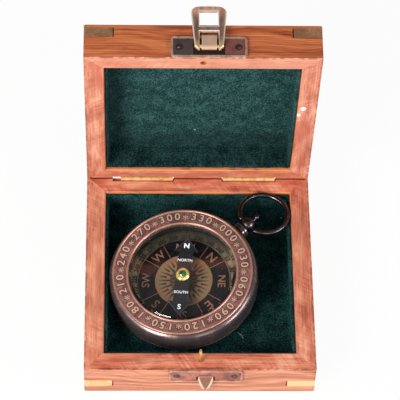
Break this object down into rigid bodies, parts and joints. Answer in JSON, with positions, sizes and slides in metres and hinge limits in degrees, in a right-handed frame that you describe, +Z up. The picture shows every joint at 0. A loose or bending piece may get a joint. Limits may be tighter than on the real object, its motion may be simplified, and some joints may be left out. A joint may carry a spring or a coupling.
{
  "type": "compass box",
  "caption": "Small hinged hardwood box with brass corner straps, hasp and catch, velvet-lined, holding a round pocket compass with a bow, a glass and a turning needle.",
  "frame": {"origin": "middle of the base's underside", "axes": "+Z up, the front with the catch faces -Y, +X to the right seen from the front"},
  "size_m": [0.102, 0.122, 0.1255],
  "materials": {
    "wood": "red-brown hardwood, waxed",
    "velvet": "dark teal green velvet on board",
    "strap_brass": "dull aged brass",
    "fitting_brass": "aged brass with a brown patina",
    "nail_steel": "dull steel nails",
    "pin_brass": "turned brass",
    "dark_bronze": "near-black bronze, polished",
    "bezel_copper": "copper-brown bronze",
    "crystal": "clear glass, bevelled edge",
    "dial": "black dial, khaki rose",
    "dial_ring": "khaki ring, black scale",
    "steel": "polished steel point",
    "needle_black": "black, satin",
    "hub_brass": "polished brass",
    "jewel_green": "faceted green glass stone"
  },
  "bodies": {
    "base": {"base_wall_front": "wood", "base_wall_back": "wood", "base_wall_left": "wood", "base_wall_right": "wood", "base_bottom_board": "wood", "base_lining_floor": "velvet", "base_lining_walls": "velvet", "base_corner_straps": "strap_brass", "rim_pin": "pin_brass", "catch_plate": "fitting_brass", "catch_nails": "nail_steel", "hinge_left_base_leaf": "fitting_brass", "hinge_right_base_leaf": "fitting_brass", "hinge_left_pin": "fitting_brass", "hinge_right_pin": "fitting_brass", "hinge_base_nails": "nail_steel"},
    "lid": {"lid_wall_front": "wood", "lid_wall_back": "wood", "lid_wall_left": "wood", "lid_wall_right": "wood", "lid_top_board": "wood", "lid_lining_panel": "velvet", "lid_lining_walls": "velvet", "lid_corner_straps": "strap_brass", "hinge_left_lid_leaf": "fitting_brass", "hinge_right_lid_leaf": "fitting_brass", "hinge_lid_nails": "nail_steel", "hasp_plate": "fitting_brass", "hasp_nails": "nail_steel"},
    "hasp": {"hasp_loop": "fitting_brass"},
    "compass": {"compass_case": "dark_bronze", "compass_back": "dark_bronze", "compass_bezel": "bezel_copper", "compass_glass": "crystal", "dial_plate": "dial", "degree_ring": "dial_ring", "pivot_pin": "steel", "pendant_collar": "dark_bronze", "pendant_ball": "dark_bronze", "pendant_knob": "dark_bronze"},
    "bow": {"bow": "dark_bronze"},
    "needle": {"needle_bar": "needle_black", "needle_cap": "needle_black", "needle_hub": "hub_brass", "hub_jewel": "jewel_green"}
  },
  "joints": [
    {"name": "lid_hinge", "type": "hinge", "parent": "base", "child": "lid", "pos_m": [0, 0.05031, 0.0192], "axis": [-1, 0, 0], "range_deg": [-85.2, 0]},
    {"name": "hasp_pivot", "type": "hinge", "parent": "lid", "child": "hasp", "pos_m": [0.0024, 0.04631, 0.12294], "axis": [-1, 0, 0], "range_deg": [-180, 0]},
    {"name": "compass_lift", "type": "slide", "parent": "base", "child": "compass", "axis": [0, 0, 1], "range_m": [0, 0.045]},
    {"name": "bow_swing", "type": "hinge", "parent": "compass", "child": "bow", "pos_m": [0.02256, 0.02398, 0.02052], "axis": [0.6593, -0.7518, 0], "range_deg": [0, 150]},
    {"name": "needle_spin", "type": "hinge", "parent": "compass", "child": "needle", "pos_m": [-0.00763, -0.0025, 0.02264], "axis": [-0.0916, -0.0803, 0.9925], "continuous": true}
  ]
}
